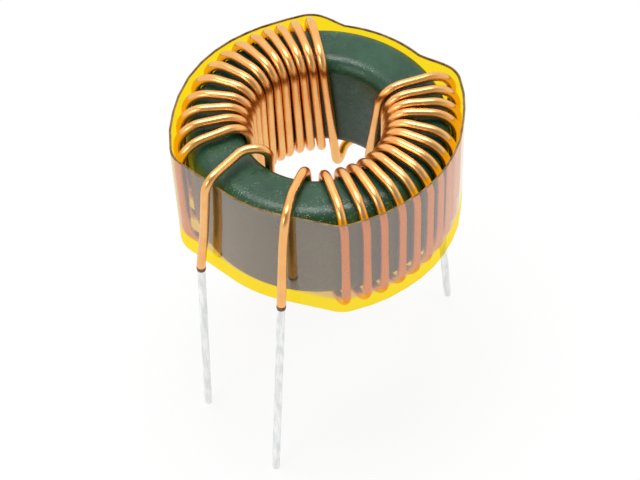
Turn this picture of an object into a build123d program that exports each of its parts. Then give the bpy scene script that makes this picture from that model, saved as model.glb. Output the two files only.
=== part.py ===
from build123d import *

import os
from math import acos, atan2, cos, degrees, radians, sin

# Two-winding toroidal inductor: a coated ring core, two hand-laid windings of enamelled copper wire,
# a band of amber film tape round the outside, and four straight leads with tinned ends.
# Millimetres, +Z up. The origin is on the ring's axis, in the plane of the board that the part seats on.

# Ring core, over its coating
CORE_DIAMETER = 28.2
CORE_BORE = 15.9
CORE_HEIGHT = 13.2
CORE_OUTER_EDGE = 2.0
CORE_BORE_EDGE = 1.6

# Winding wire over its enamel, and the tin on its bare ends
WIRE_DIAMETER = 1.0
ENAMEL_THICKNESS = 0.07
TIN_THICKNESS = 0.02

# How the wire lies on the core: its clearances, and the bends of its middle line
LEG_GAP = 0.05
BORE_GAP = 0.03
ARCH_RISE = 0.30
UNDER_SAG = 0.48
OUTER_SHOULDER = 3.0
BORE_SHOULDER = 2.5
OUTER_HEEL = 2.4
BORE_HEEL = 2.1

# Film tape round the windings: a few wraps, wound slightly askew
TAPE_WIDTH = 14.35
TAPE_THICKNESS = 0.25
TAPE_TILT = 2.2
TAPE_DROP = 0.40
TAPE_GAP = 0.03
TAPE_BEND = 3.0

# Leads: the front ones pass over the tape's rim, and the left rear one crosses below the turns, where
# it holds them off the board
LEAD_REACH = 20.85
LEAD_RISE = 0.85
LEAD_CREST = 1.65
LEAD_SWAY = 30.0
RIGHT_SWAY_RISE = 4.3
LEAD_SWING = 5.0
ENTRY_TURN = 2.2
ENTRY_SHOULDER = 1.6
CROSSING_DROP = 1.95
CROSSING_BEND = 1.7
CROSSING_SWING = 2.5
REAR_LEAD_BEND = 2.0

# The enamel stops where each lead starts its straight run to the board. On the front leads a slight
# bend is there, and its rise is how far above the tape's lower edge it is.
STRIP_BEND = 6.0
LEFT_STRIP_RISE = 1.27
RIGHT_STRIP_RISE = 2.55

# Each turn: azimuth of its outer leg, azimuths of its bore leg at the top and at the bottom, in
# degrees about the axis, and how many wire diameters the outer leg stands off the core. Read off the
# photograph, as are the leads below.
LEFT_TURNS = [
    (196.0, 189.0, 187.0, 0.70),
    (185.0, 180.0, 178.0, 0.35),
    (175.0, 171.0, 169.5, 0.10),
    (165.0, 162.0, 161.0, 0.00),
    (153.5, 153.0, 152.5, 0.00),
    (143.5, 144.0, 144.0, 0.00),
    (135.0, 134.5, 135.0, 0.00),
    (126.5, 125.5, 124.5, 0.00),
    (118.5, 117.5, 116.0, 0.00),
    (112.0, 109.0, 106.0, 0.05),
    (105.7, 101.0, 96.5, 0.10),
    (99.0, 92.5, 87.0, 0.30),
    (92.0, 84.0, 74.5, 0.60),
]
RIGHT_TURNS = [
    (278.5, 272.0, 274.0, 0.35),
    (287.5, 284.5, 286.0, 0.20),
    (295.3, 294.0, 295.5, 0.10),
    (304.2, 304.0, 305.5, 0.00),
    (312.0, 314.0, 315.0, 0.00),
    (320.2, 323.3, 324.5, 0.00),
    (328.0, 331.5, 332.5, 0.00),
    (336.2, 339.5, 340.5, 0.00),
    (344.5, 347.5, 348.5, 0.05),
    (356.0, 355.5, 356.5, 0.10),
    (363.3, 363.5, 364.5, 0.30),
    (371.3, 371.5, 374.0, 0.60),
    (379.5, 381.0, 404.0, 0.90),
]

core_radius = CORE_DIAMETER / 2
bore_radius = CORE_BORE / 2
core_half = CORE_HEIGHT / 2
wire_radius = WIRE_DIAMETER / 2
bare_radius = wire_radius - ENAMEL_THICKNESS

# Radii and levels of the wire's middle line. The core's middle is at core_z.
leg_radius = core_radius + LEG_GAP + wire_radius
bore_leg_radius = bore_radius - BORE_GAP - wire_radius
beside_tape = core_radius + TAPE_GAP + TAPE_THICKNESS + wire_radius
core_z = core_half + UNDER_SAG + WIRE_DIAMETER + CROSSING_DROP
top_z = core_z + core_half + wire_radius + ARCH_RISE
under_z = core_z - core_half - UNDER_SAG - wire_radius
crossing_z = under_z - CROSSING_DROP
lead_top_z = top_z + LEAD_RISE
tip_z = -LEAD_REACH

# Levels of the tape and of the bends where the enamel of the front leads stops
tape_z = core_z - TAPE_DROP
tape_foot_z = tape_z - TAPE_WIDTH / 2
left_strip_z = tape_foot_z + LEFT_STRIP_RISE
right_strip_z = tape_foot_z + RIGHT_STRIP_RISE

# Front leads outside the tape, from the tip up: how many wire diameters the wire stands off the tape,
# its azimuth and its level, with the radius of each bend after the tip
FRONT_LEFT_LEAD = [
    (2.61, 215.2, tip_z),
    (1.13, 213.9, left_strip_z),
    (0.75, 217.0, core_z),
    (0.40, 219.9, lead_top_z),
]
FRONT_RIGHT_LEAD = [
    (5.64, 251.4, tip_z),
    (1.57, 253.4, right_strip_z),
    (0.90, 254.9, core_z + RIGHT_SWAY_RISE),
    (0.42, 256.0, lead_top_z),
]
FRONT_LEAD_BENDS = [STRIP_BEND, LEAD_SWAY, LEAD_CREST]

# The same leads over the core and down in the bore: how many wire diameters the wire is out from the
# bore legs, its azimuth and its level, with the radius of each bend
FRONT_LEFT_ENTRY = [
    (2.18, 215.0, lead_top_z),
    (0.00, 226.0, lead_top_z),
    (0.00, 222.0, under_z),
]
FRONT_LEFT_ENTRY_BENDS = [ENTRY_TURN, ENTRY_SHOULDER, BORE_HEEL]
FRONT_RIGHT_ENTRY = [
    (4.38, 255.2, (lead_top_z + top_z) / 2),
    (0.00, 258.8, top_z - ARCH_RISE / 2),
    (0.00, 262.0, under_z),
]
FRONT_RIGHT_ENTRY_BENDS = [LEAD_SWING, ENTRY_SHOULDER, BORE_HEEL]

# Rear leads: out of the bore, past the rim of the core and down, as wire diameters out from the rim,
# azimuth and level, with the radius of each bend
REAR_LEFT_LEAD = [
    (-3.1, 74.0, crossing_z),
    (0.7, 61.5, crossing_z),
    (1.2, 60.0, tip_z),
]
REAR_LEFT_BENDS = [CROSSING_SWING, REAR_LEAD_BEND]
REAR_RIGHT_LEAD = [
    (0.3, 25.0, under_z),
    (1.3, 15.5, tip_z),
]
REAR_RIGHT_BENDS = [REAR_LEAD_BEND]


def at(radius, azimuth, z):
    """A point at a radius and an azimuth in degrees about the ring's axis."""
    return Vector(radius * cos(radians(azimuth)), radius * sin(radians(azimuth)), z)


def stations(base_radius, rows):
    """Points at so many wire diameters from a radius, each with its own azimuth and level."""
    return [at(base_radius + stand_off * WIRE_DIAMETER, azimuth, z) for stand_off, azimuth, z in rows]


def turn_corners(turns):
    """Corners and corner radii of the turns, from the foot of the first outer leg."""
    corners = []
    bends = []
    for outer, bore_top, bore_bottom, slack in turns:
        leg = leg_radius + slack * WIRE_DIAMETER
        corners += [
            at(leg, outer, under_z),
            at(leg, outer, top_z),
            at(bore_leg_radius, bore_top, top_z),
            at(bore_leg_radius, bore_bottom, under_z),
        ]
        bends += [OUTER_HEEL, OUTER_SHOULDER, BORE_SHOULDER, BORE_HEEL]
    return corners, bends


def winding_route(lead, entry, entry_bends, turns, rear_lead, rear_bends):
    """All corners of one winding from tip to tip, and the radius at each inner one."""
    corners, bends = turn_corners(turns)
    front = stations(beside_tape, lead) + stations(bore_leg_radius, entry)
    route = front + corners + stations(core_radius, rear_lead)
    return route, FRONT_LEAD_BENDS + entry_bends + bends + rear_bends


def taut_stretches(core, legs, direction):
    """Stretches where a band pulled taut round circles touches them, counter-clockwise about the axis.

    Circles are (centre, radius). The band starts and ends on the core at a direction in degrees, and
    each stretch is (centre, radius, first direction, last direction).
    """
    circles = [core] + legs
    stretches = []
    current = core
    finish = direction + 360
    while direction < finish:
        centre, radius = current
        ways = []
        for other in range(len(circles)):
            apart = circles[other][0] - centre
            if apart.length > 0:
                tilt = degrees(acos((radius - circles[other][1]) / apart.length))
                tangent = degrees(atan2(apart.Y, apart.X)) - tilt
                ways.append(((tangent - direction) % 360, other))
        turn, other = min(ways)
        last = min(direction + turn, finish)
        stretches.append(((centre.X, centre.Y), radius, direction, last))
        direction = last
        current = circles[other]
    return stretches


left_route, left_bends = winding_route(
    FRONT_LEFT_LEAD,
    FRONT_LEFT_ENTRY,
    FRONT_LEFT_ENTRY_BENDS,
    LEFT_TURNS,
    REAR_LEFT_LEAD,
    REAR_LEFT_BENDS,
)
right_route, right_bends = winding_route(
    FRONT_RIGHT_LEAD,
    FRONT_RIGHT_ENTRY,
    FRONT_RIGHT_ENTRY_BENDS,
    RIGHT_TURNS,
    REAR_RIGHT_LEAD,
    REAR_RIGHT_BENDS,
)

# The last left turn dips below the others, so that its lead crosses under the core
dip = -1 - len(REAR_LEFT_LEAD)
left_route[dip] = Vector(left_route[dip].X, left_route[dip].Y, crossing_z)
left_bends[dip + 1] = CROSSING_BEND

routes = {"left": (left_route, left_bends), "right": (right_route, right_bends)}
lead_ends = {}

os.makedirs("parts", exist_ok=True)

# Coated ring core: a rounded section turned about the axis
with BuildPart() as toroid_core:
    with BuildSketch(Plane.XZ) as section:
        with Locations(((core_radius + bore_radius) / 2, core_z)):
            Rectangle(core_radius - bore_radius, CORE_HEIGHT)
        fillet(section.vertices().group_by(Axis.X)[-1], CORE_OUTER_EDGE)
        fillet(section.vertices().group_by(Axis.X)[0], CORE_BORE_EDGE)
    revolve(axis=Axis.Z)
toroid_core.part.label = "toroid_core"
export_step(toroid_core.part, "parts/toroid_core.step")

# Windings: each is one wire, bare inside the tin on its first and its last straight run, and
# enamelled between them
for side, (route, bends) in routes.items():
    with BuildPart() as winding:
        with BuildLine():
            middle_line = FilletPolyline(*route, radius=bends)
        first_run, *enamelled, last_run = middle_line.order_edges()
        path = Wire(enamelled)
        ends = {
            f"{side}_front_tinned_end": (first_run @ 1, first_run @ 0),
            f"{side}_rear_tinned_end": (last_run @ 0, last_run @ 1),
        }
        with BuildSketch(Plane(origin=path @ 0, z_dir=path % 0)):
            Circle(wire_radius)
        sweep(path=path)
        for strip, tip in ends.values():
            with BuildSketch(Plane(origin=strip, z_dir=tip - strip)):
                Circle(bare_radius)
            extrude(amount=(tip - strip).length - TIN_THICKNESS)
    winding.part.label = f"{side}_winding"
    export_step(winding.part, f"parts/{side}_winding.step")
    lead_ends.update(ends)

# Tinned ends: a thin sleeve of tin with a closed tip over each bare wire end
for end_name, (strip, tip) in lead_ends.items():
    reach = (tip - strip).length
    with BuildPart() as tinned_end:
        with BuildSketch(Plane(origin=strip, z_dir=tip - strip)):
            Circle(bare_radius + TIN_THICKNESS)
        extrude(amount=reach)
        with BuildSketch(Plane(origin=strip, z_dir=tip - strip)):
            Circle(bare_radius)
        extrude(amount=reach - TIN_THICKNESS, mode=Mode.SUBTRACT)
    tinned_end.part.label = end_name
    export_step(tinned_end.part, f"parts/{end_name}.step")

# Tape band: pulled taut round the core and the outer legs, with an arc over each leg that it
# touches, as tight as the film bends. It starts on the core, between the first legs of the windings.
leg_bends = []
for outer, bore_top, bore_bottom, slack in LEFT_TURNS + RIGHT_TURNS:
    leg = leg_radius + slack * WIRE_DIAMETER
    bend_centre = at(leg + wire_radius + TAPE_GAP - TAPE_BEND, outer, 0)
    leg_bends.append((bend_centre, TAPE_BEND))
free_core = (LEFT_TURNS[0][0] + RIGHT_TURNS[0][0]) / 2
taut = taut_stretches((Vector(0, 0, 0), core_radius + TAPE_GAP), leg_bends, free_core)

with BuildPart() as tape_band:
    with BuildSketch(Plane.XY.offset(tape_z - TAPE_WIDTH)):
        for skin, mode in ((TAPE_THICKNESS, Mode.ADD), (0, Mode.SUBTRACT)):
            with BuildLine():
                arcs = [CenterArc(centre, radius + skin, first, last - first)
                        for centre, radius, first, last in taut]
                for arc, following in zip(arcs, arcs[1:]):
                    Line(arc @ 1, following @ 0)
            make_face(mode=mode)
    extrude(amount=2 * TAPE_WIDTH)
    leaning = (0, sin(radians(TAPE_TILT)), cos(radians(TAPE_TILT)))
    askew = Plane(origin=(0, 0, tape_z), z_dir=leaning)
    split(bisect_by=askew.offset(TAPE_WIDTH / 2), keep=Keep.BOTTOM)
    split(bisect_by=askew.offset(-TAPE_WIDTH / 2), keep=Keep.TOP)
tape_band.part.label = "tape_band"
export_step(tape_band.part, "parts/tape_band.step")
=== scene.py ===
"""A two-winding toroidal inductor, dressed and lit for its portrait.

The ring core, the two copper windings, the amber tape and the tinned lead ends are built here over the
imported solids, in metres, in the same frame: +Z up, origin on the ring's axis in the plane of the board.
"""

import logging
import math
from dataclasses import dataclass, field
from enum import Enum
from typing import Iterable, Sequence

import bpy
from mathutils import Matrix, Quaternion, Vector, noise


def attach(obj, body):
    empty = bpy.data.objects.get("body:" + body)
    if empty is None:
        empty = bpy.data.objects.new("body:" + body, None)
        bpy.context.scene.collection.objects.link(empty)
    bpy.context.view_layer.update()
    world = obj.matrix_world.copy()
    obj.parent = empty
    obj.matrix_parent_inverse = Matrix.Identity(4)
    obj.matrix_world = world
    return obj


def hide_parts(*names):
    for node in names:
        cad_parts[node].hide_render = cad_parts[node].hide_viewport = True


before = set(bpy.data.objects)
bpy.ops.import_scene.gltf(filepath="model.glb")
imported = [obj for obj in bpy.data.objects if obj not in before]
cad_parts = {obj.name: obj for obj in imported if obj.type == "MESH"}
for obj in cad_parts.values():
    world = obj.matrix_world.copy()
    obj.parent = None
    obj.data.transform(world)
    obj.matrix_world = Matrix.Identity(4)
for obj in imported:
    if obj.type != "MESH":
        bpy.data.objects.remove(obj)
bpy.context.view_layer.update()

log = logging.getLogger("inductor")

# Short names for types that come up often
Material = bpy.types.Material
Piece = bpy.types.Object
Socket = bpy.types.NodeSocket
Range = tuple[float, float]

MM = 0.001
BODY = "root"
WHITE = (1.0, 1.0, 1.0, 1.0)

# Seed of the first lead end's ripples, from which the other ends count up
FIRST_END_SEED = 11


class Side(Enum):
    """The two windings, as seen from the front leads."""

    LEFT = "left"
    RIGHT = "right"


class Slot(Enum):
    """Material slots of the record."""

    COATING = "core_coating"
    COPPER = "enamelled_copper"
    FILM = "amber_film"
    TIN = "tin"


def linear(red: float, green: float, blue: float) -> tuple[float, float, float, float]:
    """Turn a screen colour into the linear one that shaders take, by the screen standard's own formula.

    Args:
        red: Red, 0 to 255.
        green: Green, 0 to 255.
        blue: Blue, 0 to 255.

    Returns:
        The linear colour with an alpha of 1.
    """
    channels = []
    for value in (red, green, blue):
        share = value / 255
        channels.append(share / 12.92 if share <= 0.04045 else ((share + 0.055) / 1.055) ** 2.4)
    return (*channels, 1.0)


def at(radius: float, azimuth: float, z: float) -> Vector:
    """Give the point at a radius, an azimuth in degrees about the ring's axis, and a level."""
    turn = math.radians(azimuth)
    return Vector((radius * math.cos(turn), radius * math.sin(turn), z))


class Bench:
    """A node tree with short calls that add nodes and wire them."""

    def __init__(self, tree: bpy.types.NodeTree) -> None:
        """Take a tree and empty it."""
        self.tree = tree
        tree.nodes.clear()

    def add(self, kind: str, settings: dict | None = None, **values: object) -> bpy.types.Node:
        """Add a node, set its properties and fill or wire its inputs.

        Args:
            kind: The node's type name.
            settings: Properties of the node, such as its operation.
            **values: Values, sockets or nodes by input name, with _ for a blank, or i0, i1 by place.

        Returns:
            The new node.
        """
        node = self.tree.nodes.new(kind)
        for name, value in (settings or {}).items():
            setattr(node, name, value)
        for name, value in values.items():
            place = name[1:]
            key = int(place) if name[0] == "i" and place.isdigit() else name.replace("_", " ")
            self.feed(node.inputs[key], value)
        return node

    def feed(self, socket: Socket, value: object) -> None:
        """Wire a socket to another one or to a node's first output, or set its value."""
        if isinstance(value, bpy.types.Node):
            value = value.outputs[0]
        if isinstance(value, Socket):
            self.tree.links.new(value, socket)
        else:
            socket.default_value = value

    def maths(self, operation: str, first: object, second: object = 0.0) -> Socket:
        """Work one sum on two numbers and give its socket."""
        return self.add("ShaderNodeMath", {"operation": operation}, i0=first, i1=second).outputs[0]

    def vector(self, operation: str, first: object, second: object) -> Socket:
        """Work one sum on two vectors and give its socket, which is a number's for a dot product."""
        node = self.add("ShaderNodeVectorMath", {"operation": operation}, i0=first, i1=second)
        return node.outputs["Value" if operation == "DOT_PRODUCT" else "Vector"]

    def ramp(
        self, source: object, low: float, high: float, to_low: float = 0.0, to_high: float = 1.0
    ) -> Socket:
        """Map a value's range to another one, held at both ends, and give the result's socket."""
        limits = {"From_Min": low, "From_Max": high, "To_Min": to_low, "To_Max": to_high}
        return self.add("ShaderNodeMapRange", {"clamp": True}, Value=source, **limits).outputs[0]


@dataclass(frozen=True)
class Grain:
    """A noise pattern: patch size in millimetres, levels of finer noise, and the two values it is cut at."""

    size: float
    detail: float = 2.0
    low: float = 0.0
    high: float = 1.0


class Surface(Bench):
    """A material's node tree whose patterns are laid out in millimetres on the piece."""

    def __init__(self, name: str) -> None:
        """Make the material and its coordinates."""
        self.material = bpy.data.materials.new(name)
        self.material.use_nodes = True
        super().__init__(self.material.node_tree)
        place = self.add("ShaderNodeTexCoord")
        scaled = self.add("ShaderNodeMapping", Vector=place.outputs["Object"], Scale=(1 / MM, 1 / MM, 1 / MM))
        self.millimetres = scaled.outputs[0]

    def noise(self, grain: Grain, where: object = None) -> Socket:
        """Add a noise pattern and give its 0 to 1 value.

        Args:
            grain: The pattern.
            where: Coordinates to use in place of the piece's own.

        Returns:
            The noise value's socket.
        """
        place = where or self.millimetres
        pattern = self.add("ShaderNodeTexNoise", Vector=place, Scale=1 / grain.size, Detail=grain.detail)
        return pattern.outputs[0]

    def patches(self, grain: Grain, ends: Range = (0.0, 1.0), where: object = None) -> Socket:
        """Add a noise pattern and map what lies between its cuts to a range."""
        return self.ramp(self.noise(grain, where), grain.low, grain.high, *ends)

    def blend(self, share: object, first: object, second: object) -> Socket:
        """Mix two colours by a share and give the result's socket."""
        mix = self.add("ShaderNodeMix", {"data_type": "RGBA"}, i0=share, i6=first, i7=second)
        return mix.outputs[2]

    def bump(self, height: object, depth: float, under: object = None) -> Socket:
        """Turn a height pattern into a normal.

        Args:
            height: Height pattern, 0 to 1.
            depth: Height of the pattern in millimetres.
            under: Normal to lay this one over.

        Returns:
            The normal's socket.
        """
        node = self.add("ShaderNodeBump", Height=height, Distance=depth * MM, Strength=1.0)
        if under is not None:
            self.feed(node.inputs["Normal"], under)
        return node.outputs[0]

    def finish(self, shader: bpy.types.Node) -> Material:
        """Send a shader to the output and give the material."""
        self.add("ShaderNodeOutputMaterial", Surface=shader)
        return self.material


@dataclass(frozen=True)
class EpoxyCoating:
    """Dark green epoxy on the core: semi-gloss, with a fine orange peel, and dustier towards the front."""

    body: tuple = linear(24, 63, 42)
    pale: tuple = linear(38, 77, 54)
    speck: tuple = linear(150, 176, 160)
    shades: Grain = Grain(3.5, 3.0, 0.35, 0.7)
    peel: Grain = Grain(0.55)
    peel_depth: float = 0.012
    grit: Grain = Grain(0.24, 1.0)
    grit_depth: float = 0.026
    dot_edge: Range = (0.14, 0.30)
    dust: Grain = Grain(1.6, 3.0, 0.56, 0.74)
    dust_share: float = 0.7
    front_y: Range = (-13.5, -7.0)
    front_dust: float = 0.27
    sheen: Grain = Grain(0.9, 4.0, 0.35, 0.65)
    roughness: Range = (0.27, 0.42)
    index: float = 1.46

    def material(self) -> Material:
        """Build the coating's material."""
        s = Surface("green_epoxy")
        colour = s.blend(s.patches(self.shades), self.body, self.pale)
        cells = s.add("ShaderNodeTexVoronoi", Vector=s.millimetres, Scale=1 / self.grit.size, Randomness=1.0)
        dots = s.ramp(cells.outputs["Distance"], *self.dot_edge, 1.0, 0.0)
        y = s.add("ShaderNodeSeparateXYZ", Vector=s.millimetres).outputs["Y"]
        nearness = s.ramp(y, *self.front_y, self.front_dust, 0.0)
        dusty = s.ramp(s.maths("ADD", s.noise(self.dust), nearness), self.dust.low, self.dust.high)
        dust = s.maths("MULTIPLY", dots, dusty)
        colour = s.blend(s.maths("MULTIPLY", dust, self.dust_share), colour, self.speck)
        peel = s.bump(s.noise(self.peel), self.peel_depth)
        shader = s.add(
            "ShaderNodeBsdfPrincipled",
            Base_Color=colour,
            Roughness=s.patches(self.sheen, self.roughness),
            Normal=s.bump(s.noise(self.grit), self.grit_depth, peel),
            IOR=self.index,
        )
        return s.finish(shader)


@dataclass(frozen=True)
class EnamelledCopper:
    """Copper wire under clear enamel: a warm metal with a thin glossy skin."""

    bright: tuple = linear(250, 197, 128)
    deep: tuple = linear(242, 182, 110)
    shades: Grain = Grain(2.6, 3.0, 0.3, 0.7)
    draw_lines: Grain = Grain(0.14, 2.0, 0.3, 0.7)
    draw_stretch: float = 0.25
    roughness: Range = (0.27, 0.30)
    dents: Grain = Grain(1.8, 1.0)
    dent_depth: float = 0.003
    coat_weight: float = 0.15
    coat_roughness: float = 0.12
    coat_index: float = 1.5
    coat_tint: tuple = linear(255, 214, 150)

    def material(self) -> Material:
        """Build the wire's material."""
        s = Surface("enamelled_copper_wire")
        around = s.add("ShaderNodeAttribute", {"attribute_name": "around"}).outputs["Fac"]
        along = s.add("ShaderNodeAttribute", {"attribute_name": "along"}).outputs["Fac"]
        drawn = s.add("ShaderNodeCombineXYZ", X=s.maths("MULTIPLY", along, self.draw_stretch), Y=around)
        shader = s.add(
            "ShaderNodeBsdfPrincipled",
            Base_Color=s.blend(s.patches(self.shades), self.deep, self.bright),
            Metallic=1.0,
            Roughness=s.patches(self.draw_lines, self.roughness, drawn),
            Normal=s.bump(s.noise(self.dents), self.dent_depth),
            Coat_Weight=self.coat_weight,
            Coat_Roughness=self.coat_roughness,
            Coat_IOR=self.coat_index,
            Coat_Tint=self.coat_tint,
        )
        return s.finish(shader)


@dataclass(frozen=True)
class BurntEnamel:
    """Enamel charred brown where the tin bath ends."""

    char: tuple = linear(74, 46, 30)
    scorch: tuple = linear(150, 92, 52)
    shades: Grain = Grain(0.22, 3.0, 0.4, 0.62)
    sheen: Grain = Grain(0.3, 2.0, 0.3, 0.7)
    roughness: Range = (0.35, 0.6)
    crust: Grain = Grain(0.12)
    crust_depth: float = 0.03

    def material(self) -> Material:
        """Build the char's material."""
        s = Surface("burnt_enamel")
        shader = s.add(
            "ShaderNodeBsdfPrincipled",
            Base_Color=s.blend(s.patches(self.shades), self.char, self.scorch),
            Roughness=s.patches(self.sheen, self.roughness),
            Normal=s.bump(s.noise(self.crust), self.crust_depth),
        )
        return s.finish(shader)


@dataclass(frozen=True)
class DippedTin:
    """Tin on the lead ends: satin, a little lumpy and streaked along the lead."""

    bright: tuple = linear(252, 253, 252)
    dull: tuple = linear(224, 227, 226)
    streaking: tuple[float, float, float] = (1.0, 1.0, 0.18)
    shades: Grain = Grain(0.45, 3.0, 0.35, 0.65)
    sheen: Grain = Grain(0.45, 3.0, 0.3, 0.7)
    roughness: Range = (0.34, 0.52)
    lumps: Grain = Grain(0.5)
    lump_depth: float = 0.04
    metallic: float = 0.85

    def material(self) -> Material:
        """Build the tin's material."""
        s = Surface("dipped_tin")
        streaked = s.add("ShaderNodeMapping", Vector=s.millimetres, Scale=self.streaking)
        shader = s.add(
            "ShaderNodeBsdfPrincipled",
            Base_Color=s.blend(s.patches(self.shades, where=streaked), self.dull, self.bright),
            Metallic=self.metallic,
            Roughness=s.patches(self.sheen, self.roughness, streaked),
            Normal=s.bump(s.noise(self.lumps, streaked), self.lump_depth),
        )
        return s.finish(shader)


@dataclass(frozen=True)
class AmberFilm:
    """Clear amber film that colours what passes each face, with a painted reflection veil on its outside
    above a set level: a full mirror, a haze, and a darker tint that paints shade on what lies behind.
    """

    tint: tuple = linear(254, 238, 96)
    # Painted reflection veil: a darker tint, which paints shade on what is seen through, rising between these
    # levels in millimetres
    painted_veil_tint: tuple = linear(217, 186, 84)
    painted_veil_from: float = 4.9
    painted_veil_to: float = 5.6
    # Diffuse haze laid only on the painted reflection veil, and its share
    painted_veil_haze: tuple = linear(210, 160, 138)
    painted_veil_haze_share: float = 0.055
    index: float = 2.2
    # Mirror share off the painted reflection veil, which has the full mirror
    mirror_off_painted_veil: float = 0.14
    mirror_roughness: float = 0.04
    waves: Grain = Grain(4.0, 1.0)
    wave_depth: float = 0.012
    edge: tuple = linear(100, 74, 36)
    edge_pale: tuple = linear(150, 114, 56)
    edge_shades: Grain = Grain(0.8, 2.0, 0.35, 0.65)
    edge_roughness: float = 0.3

    def material(self) -> Material:
        """Build the film's material."""
        s = Surface("amber_film")
        waves = s.bump(s.noise(self.waves), self.wave_depth)
        inside = s.add("ShaderNodeNewGeometry").outputs["Backfacing"]
        index = s.ramp(inside, 0.0, 1.0, self.index, 1 / self.index)
        bare = s.add("ShaderNodeFresnel", IOR=index, Normal=waves)
        # Height mask of the painted reflection veil
        painted_veil = self.painted_veil(s)
        share = s.maths("MULTIPLY", bare, s.ramp(painted_veil, 0.0, 1.0, self.mirror_off_painted_veil, 1.0))
        clear = s.add("ShaderNodeBsdfTransparent", Color=s.blend(painted_veil, self.tint, self.painted_veil_tint))
        # The diffuse share called dust here is the painted reflection veil's haze
        dust = s.add("ShaderNodeBsdfDiffuse", Color=self.painted_veil_haze)
        dusty = s.maths("MULTIPLY", painted_veil, self.painted_veil_haze_share)
        through = s.add("ShaderNodeMixShader", i0=dusty, i1=clear, i2=dust)
        mirror = s.add("ShaderNodeBsdfGlossy", Color=WHITE, Roughness=self.mirror_roughness, Normal=waves)
        return s.finish(s.add("ShaderNodeMixShader", i0=share, i1=through, i2=mirror))

    def painted_veil(self, s: Surface) -> Socket:
        """Give 1 on the outside above a set level, where the reflection veil and the darker tint are painted
        on, and 0 elsewhere.
        """
        level = s.add("ShaderNodeSeparateXYZ", Vector=s.millimetres).outputs["Z"]
        above = s.ramp(level, self.painted_veil_from, self.painted_veil_to)
        geometry = s.add("ShaderNodeNewGeometry").outputs
        from_axis = s.vector("MULTIPLY", s.millimetres, (1.0, 1.0, 0.0))
        outside = s.maths("GREATER_THAN", s.vector("DOT_PRODUCT", from_axis, geometry["Normal"]), 0.0)
        met_first = s.maths("SUBTRACT", outside, geometry["Backfacing"])
        return s.maths("MULTIPLY", above, s.maths("MAXIMUM", met_first, 0.0))

    def edge_material(self) -> Material:
        """Build the material of the film's cut edges, where the light stays in the film."""
        s = Surface("amber_film_edge")
        colour = s.blend(s.patches(self.edge_shades), self.edge, self.edge_pale)
        return s.finish(s.add("ShaderNodeBsdfPrincipled", Base_Color=colour, Roughness=self.edge_roughness))


def store(mesh: bpy.types.Mesh, name: str, materials: Iterable[Material] = ()) -> Piece:
    """Make a scene object from a mesh and give it its materials."""
    piece = bpy.data.objects.new(name, mesh)
    bpy.context.scene.collection.objects.link(piece)
    for material in materials:
        mesh.materials.append(material)
    return piece


def ring_faces(rings: int, count: int) -> list[tuple[int, int, int, int]]:
    """Give the faces between rings of points, where the last ring meets the first.

    Args:
        rings: Number of rings, counter-clockwise about the axis.
        count: Points in each.

    Returns:
        The faces. They face outwards where each ring runs up the inside and down the outside.
    """
    faces = []
    for ring in range(rings):
        here, after = ring * count, (ring + 1) % rings * count
        for i in range(count):
            j = (i + 1) % count
            faces.append((here + i, here + j, after + j, after + i))
    return faces


def bake_nodes(piece: Piece) -> Piece:
    """Turn a piece's evaluated Geometry Nodes result into its own plain mesh."""
    graph = bpy.context.evaluated_depsgraph_get()
    mesh = bpy.data.meshes.new_from_object(piece.evaluated_get(graph), depsgraph=graph)
    piece.modifiers.clear()
    piece.data = mesh
    return piece


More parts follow.
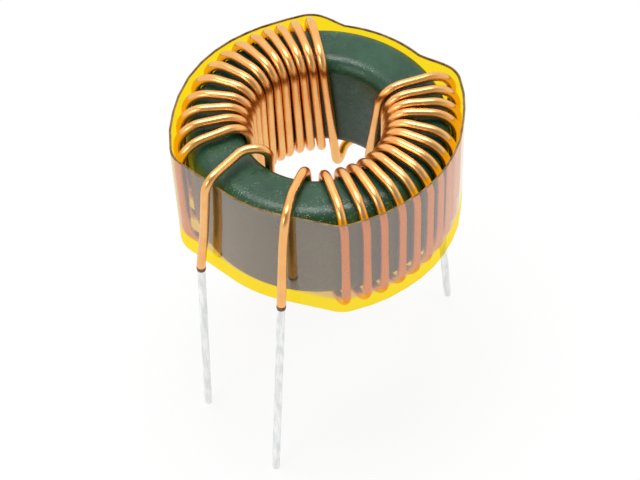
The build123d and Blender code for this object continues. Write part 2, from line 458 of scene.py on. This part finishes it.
class WireTree:
    """Geometry Nodes that sweep a round wire along a route with rounded corners."""

    sockets: dict[str, str] = {
        "Wire Radius": "Float",
        "Spacing": "Float",
        "Wander": "Float",
        "Wander Size": "Float",
        "Sides": "Int",
        "Corner Steps": "Int",
        "Seed": "Int",
        "Finish": "Material",
    }
    wander_size: float = 3.0 * MM
    sides: int = 24
    corner_steps: int = 12

    def __init__(self) -> None:
        """Build the tree once, for every piece of wire."""
        self.group = bpy.data.node_groups.new("wire_along_route", "GeometryNodeTree")
        face = self.group.interface
        face.new_socket(name="Route", in_out="INPUT", socket_type="NodeSocketGeometry")
        self.inputs = [
            face.new_socket(name=name, in_out="INPUT", socket_type=f"NodeSocket{kind}").identifier
            for name, kind in self.sockets.items()
        ]
        face.new_socket(name="Wire", in_out="OUTPUT", socket_type="NodeSocketGeometry")
        b = Bench(self.group)
        given = b.add("NodeGroupInput").outputs

        def read(name: str) -> Socket:
            """Read a stored number by its name."""
            return b.add("GeometryNodeInputNamedAttribute", {"data_type": "FLOAT"}, Name=name).outputs[0]

        def mark(shape: bpy.types.Node, name: str, value: object) -> Socket:
            """Store a number on a shape's points under a name."""
            kind = {"data_type": "FLOAT", "domain": "POINT"}
            stored = b.add("GeometryNodeStoreNamedAttribute", kind, i0=shape, Name=name)
            b.feed(stored.inputs["Value"], value)
            return stored.outputs[0]

        curve = b.add("GeometryNodeMeshToCurve", i0=given["Route"])
        rounded = b.add("GeometryNodeFilletCurve", {"mode": "POLY"}, i0=curve, Radius=read("bend"))
        b.feed(rounded.inputs["Count"], given["Corner Steps"])
        even = b.add("GeometryNodeResampleCurve", {"mode": "LENGTH"}, i0=rounded)
        b.feed(even.inputs["Length"], given["Spacing"])
        swirl = b.add(
            "ShaderNodeTexNoise",
            {"noise_dimensions": "4D"},
            Vector=b.add("GeometryNodeInputPosition"),
            Scale=b.maths("DIVIDE", 1.0, given["Wander Size"]),
            W=given["Seed"],
            Detail=1.0,
        )
        centred = b.vector("SUBTRACT", swirl.outputs["Color"], (0.5, 0.5, 0.5))
        reach = b.maths("MULTIPLY", given["Wander"], read("loose"))
        drift = b.add("ShaderNodeVectorMath", {"operation": "SCALE"}, i0=centred, Scale=reach)
        moved = b.add("GeometryNodeSetPosition", Geometry=even, Offset=drift)
        spline = b.add("GeometryNodeSplineParameter").outputs
        marked = mark(moved, "along", b.maths("MULTIPLY", spline["Length"], 1 / MM))
        sized = b.add("GeometryNodeSetCurveRadius", i0=marked, Radius=read("girth"))
        ring = b.add(
            "GeometryNodeCurvePrimitiveCircle",
            {"mode": "RADIUS"},
            Resolution=given["Sides"],
            Radius=given["Wire Radius"],
        )
        profile = mark(ring, "around", spline["Factor"])
        swept = b.add("GeometryNodeCurveToMesh", i0=sized, i1=profile, Fill_Caps=True)
        b.feed(swept.inputs["Scale"], read("girth"))
        smooth = b.add("GeometryNodeSetShadeSmooth", Geometry=swept)
        dressed = b.add("GeometryNodeSetMaterial", i0=smooth, Material=given["Finish"])
        b.add("NodeGroupOutput", i0=dressed)

    def sweep(
        self,
        name: str,
        route: Sequence["RoutePoint"],
        radius: float,
        finish: Material,
        spacing: float,
        wander: float = 0.0,
        seed: int = 1,
    ) -> Piece:
        """Sweep a wire along a route and give it as a plain mesh piece.

        Args:
            name: The piece's name.
            route: Corners of the route, from one end to the other.
            radius: Radius of the wire in metres.
            finish: The wire's material.
            spacing: Distance between two rings of the mesh in metres.
            wander: How far the wire strays from its route, in metres.
            seed: Seed of the straying.

        Returns:
            The finished piece.
        """
        mesh = bpy.data.meshes.new(name)
        mesh.from_pydata([p.place for p in route], [(i, i + 1) for i in range(len(route) - 1)], [])
        for label in ("bend", "girth", "loose"):
            values = mesh.attributes.new(label, "FLOAT", "POINT")
            values.data.foreach_set("value", [getattr(p, label) for p in route])
        piece = store(mesh, name)
        modifier = piece.modifiers.new("sweep", "NODES")
        modifier.node_group = self.group
        values = (radius, spacing, wander, self.wander_size, self.sides, self.corner_steps, seed, finish)
        for key, value in zip(self.inputs, values):
            modifier[key] = value
        return bake_nodes(piece)


@dataclass(frozen=True)
class RoutePoint:
    """A corner of a wire's route: its place, the radius of its bend, its girth and its looseness."""

    place: Vector
    bend: float = 0.0
    girth: float = 1.0
    loose: float = 0.0


@dataclass(frozen=True)
class Turn:
    """One turn of a winding, in degrees about the axis and wire diameters off the core."""

    outer: float
    bore_top: float
    bore_bottom: float
    slack: float


@dataclass(frozen=True)
class Station:
    """A point that a lead passes: its stand-off in wire diameters, azimuth, level, and bend radius."""

    stand_off: float
    azimuth: float
    level: float
    bend: float = 0.0


@dataclass(frozen=True)
class Sizes:
    """Sizes that the core, the windings and the tape share, in millimetres and degrees."""

    core_diameter: float = 28.2
    core_bore: float = 15.9
    core_height: float = 13.2
    core_outer_edge: float = 2.0
    core_bore_edge: float = 1.6
    wire_diameter: float = 1.0
    enamel_thickness: float = 0.07
    tin_thickness: float = 0.02
    leg_gap: float = 0.05
    bore_gap: float = 0.03
    arch_rise: float = 0.30
    under_sag: float = 0.48
    outer_shoulder: float = 3.0
    bore_shoulder: float = 2.5
    outer_heel: float = 2.4
    bore_heel: float = 2.1
    tape_width: float = 14.35
    tape_thickness: float = 0.25
    tape_tilt: float = 2.2
    tape_drop: float = 0.40
    tape_gap: float = 0.03
    tape_bend: float = 3.0
    lead_reach: float = 20.85
    lead_rise: float = 0.85
    lead_crest: float = 1.65
    lead_sway: float = 30.0
    right_sway_rise: float = 4.3
    lead_swing: float = 5.0
    entry_turn: float = 2.2
    entry_shoulder: float = 1.6
    crossing_drop: float = 1.95
    crossing_bend: float = 1.7
    crossing_swing: float = 2.5
    rear_lead_bend: float = 2.0
    strip_bend: float = 6.0
    left_strip_rise: float = 1.27
    right_strip_rise: float = 2.55

    @property
    def core_radius(self) -> float:
        """Outer radius of the core."""
        return self.core_diameter / 2

    @property
    def core_half(self) -> float:
        """Half the core's height."""
        return self.core_height / 2

    @property
    def wire_radius(self) -> float:
        """Radius of the wire over its enamel."""
        return self.wire_diameter / 2

    @property
    def leg_radius(self) -> float:
        """Radius of the outer legs' middle line."""
        return self.core_radius + self.leg_gap + self.wire_radius

    @property
    def bore_leg_radius(self) -> float:
        """Radius of the bore legs' middle line."""
        return self.core_bore / 2 - self.bore_gap - self.wire_radius

    @property
    def beside_tape(self) -> float:
        """Radius of a wire that lies against the tape's outside."""
        return self.core_radius + self.tape_gap + self.tape_thickness + self.wire_radius

    @property
    def core_z(self) -> float:
        """Level of the core's middle."""
        return self.core_half + self.under_sag + self.wire_diameter + self.crossing_drop

    @property
    def top_z(self) -> float:
        """Level of the turns' middle line over the core."""
        return self.core_z + self.core_half + self.wire_radius + self.arch_rise

    @property
    def under_z(self) -> float:
        """Level of the turns' middle line under the core."""
        return self.core_z - self.core_half - self.under_sag - self.wire_radius

    @property
    def crossing_z(self) -> float:
        """Level of the lead that crosses under the turns."""
        return self.under_z - self.crossing_drop

    @property
    def lead_top_z(self) -> float:
        """Level of the front leads over the core."""
        return self.top_z + self.lead_rise

    @property
    def tip_z(self) -> float:
        """Level of the lead tips."""
        return -self.lead_reach

    @property
    def tape_z(self) -> float:
        """Level of the tape's middle."""
        return self.core_z - self.tape_drop

    @property
    def tape_foot_z(self) -> float:
        """Level of the tape's lower edge, where it isn't askew."""
        return self.tape_z - self.tape_width / 2

    @property
    def left_strip_z(self) -> float:
        """Level of the bend where the front left lead's enamel stops."""
        return self.tape_foot_z + self.left_strip_rise

    @property
    def right_strip_z(self) -> float:
        """Level of the bend where the front right lead's enamel stops."""
        return self.tape_foot_z + self.right_strip_rise


@dataclass
class RingCore:
    """The coated ring core, turned about the axis from its rounded section."""

    sizes: Sizes
    finish: EpoxyCoating = field(default_factory=EpoxyCoating)
    segments: int = 288
    corner_steps: int = 10

    def section(self) -> list[tuple[float, float]]:
        """Give the section's outline as radius and level in metres, counter-clockwise."""
        s = self.sizes
        outer, inner = s.core_radius, s.core_bore / 2
        low, high = s.core_z - s.core_half, s.core_z + s.core_half
        rim, lip = s.core_outer_edge, s.core_bore_edge
        corners = (
            (outer - rim, low + rim, rim, -90),
            (outer - rim, high - rim, rim, 0),
            (inner + lip, high - lip, lip, 90),
            (inner + lip, low + lip, lip, 180),
        )
        outline = []
        for radius, level, edge, start in corners:
            for step in range(self.corner_steps + 1):
                turn = math.radians(start + 90 * step / self.corner_steps)
                outline.append(((radius + edge * math.cos(turn)) * MM, (level + edge * math.sin(turn)) * MM))
        return outline

    def build(self) -> Piece:
        """Turn the section into the core's mesh, its faces turned over to suit the outline."""
        outline = self.section()
        azimuths = [360 * turn / self.segments for turn in range(self.segments)]
        points = [at(radius, azimuth, level) for azimuth in azimuths for radius, level in outline]
        faces = [(a, d, c, b) for a, b, c, d in ring_faces(self.segments, len(outline))]
        mesh = bpy.data.meshes.new("ring_core")
        mesh.from_pydata(points, [], faces)
        mesh.shade_smooth()
        return store(mesh, "ring_core", [self.finish.material()])

    def dress(self) -> Piece:
        """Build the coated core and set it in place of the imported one."""
        piece = self.build()
        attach(piece, BODY)
        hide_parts("toroid_core")
        return piece


@dataclass
class Winding:
    """One winding: a single wire from tip to tip, thinner where it is bare inside the tin."""

    side: Side
    sizes: Sizes
    lead: list[Station]
    entry: list[Station]
    turns: list[Turn]
    rear: list[Station]
    dips: bool
    seed: int
    bore_rise: float = 0.22
    entry_loose: float = 0.5
    wander: float = 0.05 * MM
    spacing: float = 0.28 * MM
    tip_gap: float = 0.35 * MM
    bare_step: float = 0.05 * MM

    def corners(self) -> list[RoutePoint]:
        """Give the corners of the wire's route from tip to tip."""
        s = self.sizes
        route = self.passed(self.lead, s.beside_tape, 0.0)
        route += self.passed(self.entry, s.bore_leg_radius, self.entry_loose)
        for turn in self.turns:
            leg = s.leg_radius + turn.slack * s.wire_diameter
            bore_top = s.top_z + self.bore_rise
            for place, bend in (
                (at(leg, turn.outer, s.under_z), s.outer_heel),
                (at(leg, turn.outer, s.top_z), s.outer_shoulder),
                (at(s.bore_leg_radius, turn.bore_top, bore_top), s.bore_shoulder),
                (at(s.bore_leg_radius, turn.bore_bottom, s.under_z), s.bore_heel),
            ):
                route.append(RoutePoint(place * MM, bend * MM, loose=1.0))
        if self.dips:
            dipped = at(s.bore_leg_radius, self.turns[-1].bore_bottom, s.crossing_z) * MM
            route[-1] = RoutePoint(dipped, s.crossing_bend * MM)
        return route + self.passed(self.rear, s.core_radius, 0.0)

    def passed(self, stations: list[Station], base_radius: float, loose: float) -> list[RoutePoint]:
        """Turn a lead's stations into corners of the route.

        Args:
            stations: Stations at so many wire diameters from the base radius.
            base_radius: That radius in millimetres.
            loose: How freely the wire strays there.

        Returns:
            One corner for each station.
        """
        found = []
        for station in stations:
            radius = base_radius + station.stand_off * self.sizes.wire_diameter
            place = at(radius, station.azimuth, station.level) * MM
            found.append(RoutePoint(place, station.bend * MM, loose=loose))
        return found

    def strip(self, tip: RoutePoint, bend: RoutePoint, following: RoutePoint) -> Vector:
        """Give the point of a lead's straight end where its enamel stops: where its bend starts."""
        inward = tip.place - bend.place
        turn = (-inward).angle(following.place - bend.place)
        return bend.place + inward.normalized() * (bend.bend * math.tan(turn / 2))

    def ends(self) -> dict[str, tuple[Vector, Vector]]:
        """Give both straight ends, each from where its enamel stops to its tip."""
        route = self.corners()
        return {
            f"{self.side.value}_front": (self.strip(*route[:3]), route[0].place),
            f"{self.side.value}_rear": (self.strip(*route[:-4:-1]), route[-1].place),
        }

    def route(self) -> list[RoutePoint]:
        """Give the whole wire's route, with a step where the bare wire starts at each end."""
        s = self.sizes
        bare = 1 - 2 * s.enamel_thickness / s.wire_diameter
        ends = []
        for strip, tip in self.ends().values():
            down = (tip - strip).normalized()
            end = [
                RoutePoint(tip - down * self.tip_gap, girth=bare),
                RoutePoint(strip + down * self.bare_step, girth=bare),
                RoutePoint(strip),
            ]
            ends.append(end)
        front, rear = ends
        return front + self.corners()[1:-1] + rear[::-1]

    def dress(self, tree: WireTree, copper: Material) -> Piece:
        """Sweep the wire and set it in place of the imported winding."""
        name = f"{self.side.value}_copper_wire"
        radius = self.sizes.wire_radius * MM
        piece = tree.sweep(name, self.route(), radius, copper, self.spacing, self.wander, self.seed)
        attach(piece, BODY)
        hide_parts(f"{self.side.value}_winding")
        return piece


# The tin's rounded tip: share of the rounding passed, and girth there
TIP_PROFILE = ((0.35, 0.93), (0.7, 0.76), (1.0, 0.35))

# The char ring: millimetres past the enamel's end, and girth there
CHAR_PROFILE = ((-0.32, 1.0), (-0.18, 1.035), (0.02, 1.06), (0.16, 1.01), (0.30, 0.97))


@dataclass
class LeadEnd:
    """A tinned lead end and the ring of burnt enamel above it."""

    name: str
    strip: Vector
    tip: Vector
    sizes: Sizes
    seed: int
    steps: int = 40
    lump: float = 0.03
    ripples: float = 9.0
    ripple_shift: float = 7.3
    rounding: float = 0.22 * MM
    tin_spacing: float = 0.12 * MM
    char_spacing: float = 0.04 * MM

    def tin_route(self) -> list[RoutePoint]:
        """Give the lead end's route, its girth a little uneven and its tip rounded."""
        route = []
        for i in range(self.steps + 1):
            share = i / self.steps
            ripple = noise.noise(Vector((self.seed * self.ripple_shift, 0.0, share * self.ripples)))
            girth = 1 - self.lump * (0.5 + 0.5 * ripple)
            route.append(RoutePoint(self.strip.lerp(self.tip, share), girth=girth))
        length = (self.tip - self.strip).length
        round_from = self.strip.lerp(self.tip, 1 - self.rounding / length)
        route[-1] = RoutePoint(round_from, girth=route[-1].girth)
        for share, girth in TIP_PROFILE:
            along = 1 - self.rounding * (1 - share) / length
            route.append(RoutePoint(self.strip.lerp(self.tip, along), girth=girth))
        return route

    def char_route(self) -> list[RoutePoint]:
        """Give the char ring's short route across the enamel's end."""
        down = (self.tip - self.strip).normalized()
        return [RoutePoint(self.strip + down * (offset * MM), girth=girth) for offset, girth in CHAR_PROFILE]

    def dress(self, tree: WireTree, tin: Material, char: Material) -> list[Piece]:
        """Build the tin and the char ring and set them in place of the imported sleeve."""
        s = self.sizes
        radius = (s.wire_radius - s.enamel_thickness + s.tin_thickness) * MM
        sleeve = tree.sweep(f"{self.name}_tin", self.tin_route(), radius, tin, self.tin_spacing)
        radius = s.wire_radius * MM
        ring = tree.sweep(f"{self.name}_char_ring", self.char_route(), radius, char, self.char_spacing)
        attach(sleeve, BODY)
        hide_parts(f"{self.name}_tinned_end")
        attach(ring, BODY)
        return [sleeve, ring]


@dataclass(frozen=True)
class Stretch:
    """Where the taut band lies on a circle: its centre, radius, and first and last direction."""

    centre: Vector
    radius: float
    first: float
    last: float


@dataclass
class TapeBand:
    """The film tape: two wraps pulled taut round the legs and the core, a little askew to each other."""

    sizes: Sizes
    turns: list[Turn]
    start: float
    finish: AmberFilm = field(default_factory=AmberFilm)
    arc_step: float = 2.0
    span_step: float = 0.6
    same_place: float = 0.01
    cling: float = 0.40
    cling_from: float = 3.0
    cling_over: float = 3.0
    wrap_skew: float = 0.13
    skew_mean: float = 0.65
    # Waves round the ring, their height, and their shift in radians
    skew_waves: tuple = ((1, 0.55, 0.8), (3, 0.25, 1.0))
    # Faces of the section that are the upper cut edge
    cut_faces: tuple[int, ...] = (1, 2, 3)

    def circles(self) -> list[tuple[Vector, float]]:
        """Give the circles that the band goes round, the core first."""
        s = self.sizes
        found = [(Vector((0, 0, 0)), s.core_radius + s.tape_gap)]
        for turn in self.turns:
            leg = s.leg_radius + turn.slack * s.wire_diameter
            reach = leg + s.wire_radius + s.tape_gap - s.tape_bend
            found.append((at(reach, turn.outer, 0), s.tape_bend))
        return found

    def stretches(self) -> list[Stretch]:
        """Give the stretches where the taut band touches its circles, counter-clockwise."""
        circles = self.circles()
        current = 0
        direction = self.start
        stop = direction + 360
        found = []
        while direction < stop:
            centre, radius = circles[current]
            ways = []
            for index, (other_centre, other_radius) in enumerate(circles):
                apart = other_centre - centre
                if apart.length > 0:
                    tilt = math.degrees(math.acos((radius - other_radius) / apart.length))
                    tangent = math.degrees(math.atan2(apart.y, apart.x)) - tilt
                    ways.append(((tangent - direction) % 360, index))
            turn, following = min(ways)
            last = min(direction + turn, stop)
            found.append(Stretch(centre, radius, direction, last))
            direction = last
            current = following
        return found

    def outline(self) -> list[tuple[Vector, Vector]]:
        """Give points on the band's inside with their outward directions, in millimetres."""
        found: list[tuple[Vector, Vector]] = []
        for stretch in self.stretches():
            steps = max(1, round((stretch.last - stretch.first) / self.arc_step))
            for step in range(steps + 1):
                way = at(1, stretch.first + (stretch.last - stretch.first) * step / steps, 0)
                place = stretch.centre + way * stretch.radius
                if found:
                    before = found[-1][0]
                    gap = place - before
                    if gap.length < self.same_place:
                        continue
                    pieces = math.ceil(gap.length / self.span_step)
                    found += [(self.clung(before, gap, i / pieces), way) for i in range(1, pieces)]
                found.append((place, way))
        if (found[-1][0] - found[0][0]).length < self.same_place:
            found.pop()
        return found

    def clung(self, start: Vector, gap: Vector, share: float) -> Vector:
        """Give a point of a free span, drawn in towards the core where a span at the rear is long.

        Args:
            start: Where the span leaves its first circle.
            gap: The span.
            share: Place on the span, 0 to 1.

        Returns:
            The point, never nearer to the axis than the core lets it.
        """
        s = self.sizes
        point = start + gap * share
        excess = (gap.length - self.cling_from) / self.cling_over
        longness = min(1.0, max(0.0, excess)) if start.y > 0 else 0.0
        dip = self.cling * longness * math.sin(math.pi * share) ** 2
        radius = max(s.core_radius + s.tape_gap, point.length - dip)
        return point * (radius / point.length)

    def section(self, place: Vector, way: Vector) -> list[Vector]:
        """Give the wall's section at a point of the outline: two wraps, stepped at both edges.

        Args:
            place: Point on the band's inside, in millimetres.
            way: Outward direction there.

        Returns:
            Corners of the section in metres, from the inside bottom, up the inside and down the outside.
        """
        s = self.sizes
        azimuth = math.atan2(place.y, place.x)
        lean = math.tan(math.radians(s.tape_tilt))
        half = s.tape_width / 2 / math.cos(math.radians(s.tape_tilt))
        skew = self.skew_mean
        for count, height, shift in self.skew_waves:
            skew += height * math.sin(count * azimuth + shift)
        step = self.wrap_skew * skew
        middle = s.tape_thickness / 2
        corners = []
        inner = half - step
        upwards = ((0.0, -inner), (0.0, inner), (middle, inner), (middle, half))
        downwards = ((2 * middle, half), (2 * middle, -half), (middle, -half), (middle, -inner))
        for offset, edge in upwards + downwards:
            point = place + way * offset
            corners.append(Vector((point.x, point.y, s.tape_z - lean * point.y + edge)) * MM)
        return corners

    def dress(self) -> Piece:
        """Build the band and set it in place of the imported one."""
        rings = [self.section(place, way) for place, way in self.outline()]
        count = len(rings[0])
        points = [corner for ring in rings for corner in ring]
        faces = ring_faces(len(rings), count)
        slots = [int(i in self.cut_faces) for _ in rings for i in range(count)]
        mesh = bpy.data.meshes.new("amber_tape")
        mesh.from_pydata(points, [], faces)
        mesh.polygons.foreach_set("material_index", slots)
        mesh.shade_smooth()
        for edge in mesh.edges:
            edge.use_edge_sharp = (edge.vertices[0] // count) != (edge.vertices[1] // count)
        piece = store(mesh, "amber_tape", [self.finish.material(), self.finish.edge_material()])
        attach(piece, BODY)
        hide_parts("tape_band")
        return piece


@dataclass(frozen=True)
class SoftBox:
    """A soft box: its name, place and sides in metres, and its power in watts."""

    name: str
    place: tuple[float, float, float]
    width: float
    depth: float
    power: float

    def hang(self, aim: Vector) -> None:
        """Hang the soft box so that it faces a point."""
        light = bpy.data.lights.new(self.name, "AREA")
        light.shape = "RECTANGLE"
        light.size = self.width
        light.size_y = self.depth
        light.energy = self.power
        lamp = bpy.data.objects.new(self.name, light)
        bpy.context.scene.collection.objects.link(lamp)
        lamp.location = self.place
        lamp.rotation_mode = "QUATERNION"
        lamp.rotation_quaternion = (aim - Vector(self.place)).to_track_quat("-Z", "Y")


@dataclass
class Studio:
    """Camera, floor, world and lamps for the portrait."""

    sizes: Sizes
    elevation: float = 48.876
    distance: float = 216.98
    pan: float = 0.00154
    tilt: float = -0.04057
    roll: float = math.radians(2.564)
    lens: float = 112.5
    sensor: float = 36.0
    clip: Range = (0.01, 10.0)
    camera_side: float = 0.34
    camera_side_edge: Range = (0.35, 0.90)
    soft_light: float = 0.62
    floor_shade: float = 0.86
    floor_glow: float = 0.86
    floor_drop: float = 0.02
    floor_reach: float = 3.0
    boxes: tuple[SoftBox, ...] = (
        SoftBox("overhead_box", (-0.02, 0.05, 0.36), 0.24, 0.16, 0.9),
        SoftBox("front_left_box", (-0.26, -0.22, 0.22), 0.14, 0.14, 0.25),
    )

    @property
    def back(self) -> Vector:
        """Direction from the core to the camera."""
        rise = math.radians(self.elevation)
        return Vector((0, -math.cos(rise), math.sin(rise)))

    @property
    def core(self) -> Vector:
        """The core's middle, in millimetres."""
        return Vector((0, 0, self.sizes.core_z))

    def camera(self) -> None:
        """Set the camera where the photograph was taken from."""
        forward, right = -self.back, Vector((1, 0, 0))
        up = right.cross(forward)
        forward = Quaternion(up, self.pan) @ forward
        right = Quaternion(up, self.pan) @ right
        up = Quaternion(right, self.tilt) @ up
        forward = Quaternion(right, self.tilt) @ forward
        right = Quaternion(forward, self.roll) @ right
        up = Quaternion(forward, self.roll) @ up
        lens = bpy.data.cameras.new("portrait_camera")
        lens.lens = self.lens
        lens.sensor_width = self.sensor
        lens.clip_start, lens.clip_end = self.clip
        camera = bpy.data.objects.new("portrait_camera", lens)
        bpy.context.scene.collection.objects.link(camera)
        turned = Matrix((right, up, -forward)).transposed().to_4x4()
        camera.matrix_world = Matrix.Translation((self.core + self.back * self.distance) * MM) @ turned
        bpy.context.scene.camera = camera

    def seen(self, bench: Bench) -> Socket:
        """Give 1 for rays that show the background: straight, mirrored or through glass."""
        path = bench.add("ShaderNodeLightPath").outputs
        shown = bench.maths("MAXIMUM", path["Is Camera Ray"], path["Is Glossy Ray"])
        return bench.maths("MAXIMUM", shown, path["Is Transmission Ray"])

    def world(self) -> None:
        """Light the scene with a pale world that shows white, but for the dim room behind the camera."""
        world = bpy.data.worlds.new("studio_world")
        world.use_nodes = True
        bench = Bench(world.node_tree)
        way = bench.add("ShaderNodeTexCoord").outputs["Generated"]
        facing = bench.vector("DOT_PRODUCT", way, self.back)
        dim = bench.ramp(facing, *self.camera_side_edge, 1.0, self.camera_side)
        soft = bench.add("ShaderNodeBackground", Color=WHITE, Strength=self.soft_light)
        white = bench.add("ShaderNodeBackground", Color=WHITE, Strength=dim)
        mixed = bench.add("ShaderNodeMixShader", i0=self.seen(bench), i1=soft, i2=white)
        bench.add("ShaderNodeOutputWorld", Surface=mixed)
        bpy.context.scene.world = world

    def floor(self) -> None:
        """Lay a plain pale floor just under the lead tips."""
        bench = Surface("pale_floor")
        shade = self.floor_shade
        matt = bench.add("ShaderNodeBsdfDiffuse", Color=(shade, shade, shade, 1.0))
        white = bench.add("ShaderNodeEmission", Color=WHITE, Strength=1.0)
        share = bench.maths("MULTIPLY", self.seen(bench), self.floor_glow)
        mixed = bench.add("ShaderNodeMixShader", i0=share, i1=matt, i2=white)
        level = (self.sizes.tip_z - self.floor_drop) * MM
        ways = ((-1, -1), (1, -1), (1, 1), (-1, 1))
        corners = [(x * self.floor_reach, y * self.floor_reach, level) for x, y in ways]
        mesh = bpy.data.meshes.new("floor")
        mesh.from_pydata(corners, [], [(0, 1, 2, 3)])
        floor = store(mesh, "floor", [bench.finish(mixed)])

    def lamps(self) -> None:
        """Hang the soft boxes, all facing the core."""
        for box in self.boxes:
            box.hang(self.core * MM)

    def build(self) -> None:
        """Set up the whole studio."""
        self.camera()
        self.world()
        self.floor()
        self.lamps()
        bpy.context.scene.view_settings.view_transform = "Standard"


# Turns as read off the photograph, from the front lead round to the rear one
LEFT_TURNS = [
    Turn(196.0, 189.0, 187.0, 0.70),
    Turn(185.0, 180.0, 178.0, 0.35),
    Turn(175.0, 171.0, 169.5, 0.10),
    Turn(165.0, 162.0, 161.0, 0.00),
    Turn(153.5, 153.0, 152.5, 0.00),
    Turn(143.5, 144.0, 144.0, 0.00),
    Turn(135.0, 134.5, 135.0, 0.00),
    Turn(126.5, 125.5, 124.5, 0.00),
    Turn(118.5, 117.5, 116.0, 0.00),
    Turn(112.0, 109.0, 106.0, 0.05),
    Turn(105.7, 101.0, 96.5, 0.10),
    Turn(99.0, 92.5, 87.0, 0.30),
    Turn(92.0, 84.0, 74.5, 0.60),
]
RIGHT_TURNS = [
    Turn(278.5, 272.0, 274.0, 0.35),
    Turn(287.5, 284.5, 286.0, 0.20),
    Turn(295.3, 294.0, 295.5, 0.10),
    Turn(304.2, 304.0, 305.5, 0.00),
    Turn(312.0, 314.0, 315.0, 0.00),
    Turn(320.2, 323.3, 324.5, 0.00),
    Turn(328.0, 331.5, 332.5, 0.00),
    Turn(336.2, 339.5, 340.5, 0.00),
    Turn(344.5, 347.5, 348.5, 0.05),
    Turn(356.0, 355.5, 356.5, 0.10),
    Turn(363.3, 363.5, 364.5, 0.30),
    Turn(371.3, 371.5, 374.0, 0.60),
    Turn(379.5, 381.0, 404.0, 0.90),
]


def windings(s: Sizes) -> list[Winding]:
    """Lay out the left and the right winding with their leads."""
    left = Winding(
        side=Side.LEFT,
        sizes=s,
        lead=[
            Station(2.61, 215.2, s.tip_z),
            Station(1.13, 213.9, s.left_strip_z, s.strip_bend),
            Station(0.75, 217.0, s.core_z, s.lead_sway),
            Station(0.40, 219.9, s.lead_top_z, s.lead_crest),
        ],
        entry=[
            Station(2.18, 215.0, s.lead_top_z, s.entry_turn),
            Station(0.00, 226.0, s.lead_top_z, s.entry_shoulder),
            Station(0.00, 222.0, s.under_z, s.bore_heel),
        ],
        turns=LEFT_TURNS,
        rear=[
            Station(-3.1, 74.0, s.crossing_z, s.crossing_swing),
            Station(0.7, 61.5, s.crossing_z, s.rear_lead_bend),
            Station(1.2, 60.0, s.tip_z),
        ],
        dips=True,
        seed=3,
    )
    right = Winding(
        side=Side.RIGHT,
        sizes=s,
        lead=[
            Station(5.64, 251.4, s.tip_z),
            Station(1.57, 253.4, s.right_strip_z, s.strip_bend),
            Station(0.90, 254.9, s.core_z + s.right_sway_rise, s.lead_sway),
            Station(0.42, 256.0, s.lead_top_z, s.lead_crest),
        ],
        entry=[
            Station(4.38, 255.2, (s.lead_top_z + s.top_z) / 2, s.lead_swing),
            Station(0.00, 258.8, s.top_z - s.arch_rise / 2, s.entry_shoulder),
            Station(0.00, 262.0, s.under_z, s.bore_heel),
        ],
        turns=RIGHT_TURNS,
        rear=[Station(0.3, 25.0, s.under_z, s.rear_lead_bend), Station(1.3, 15.5, s.tip_z)],
        dips=False,
        seed=8,
    )
    return [left, right]


def main() -> None:
    """Build the inductor and its studio, and report each piece."""
    logging.basicConfig(level=logging.INFO, format="%(name)s: %(message)s")
    sizes = Sizes()
    tree = WireTree()
    copper = EnamelledCopper().material()
    tin = DippedTin().material()
    char = BurntEnamel().material()
    pieces = [RingCore(sizes).dress()]
    for number, winding in enumerate(windings(sizes)):
        pieces.append(winding.dress(tree, copper))
        for place, (name, (strip, tip)) in enumerate(winding.ends().items()):
            end = LeadEnd(name, strip, tip, sizes, seed=FIRST_END_SEED + 2 * number + place)
            pieces += end.dress(tree, tin, char)
    free_core = (LEFT_TURNS[0].outer + RIGHT_TURNS[0].outer) / 2
    pieces.append(TapeBand(sizes, LEFT_TURNS + RIGHT_TURNS, free_core).dress())
    Studio(sizes).build()
    for piece in pieces:
        log.info("%s: %d faces", piece.name, len(piece.data.polygons))


if __name__ == "__main__":
    main()
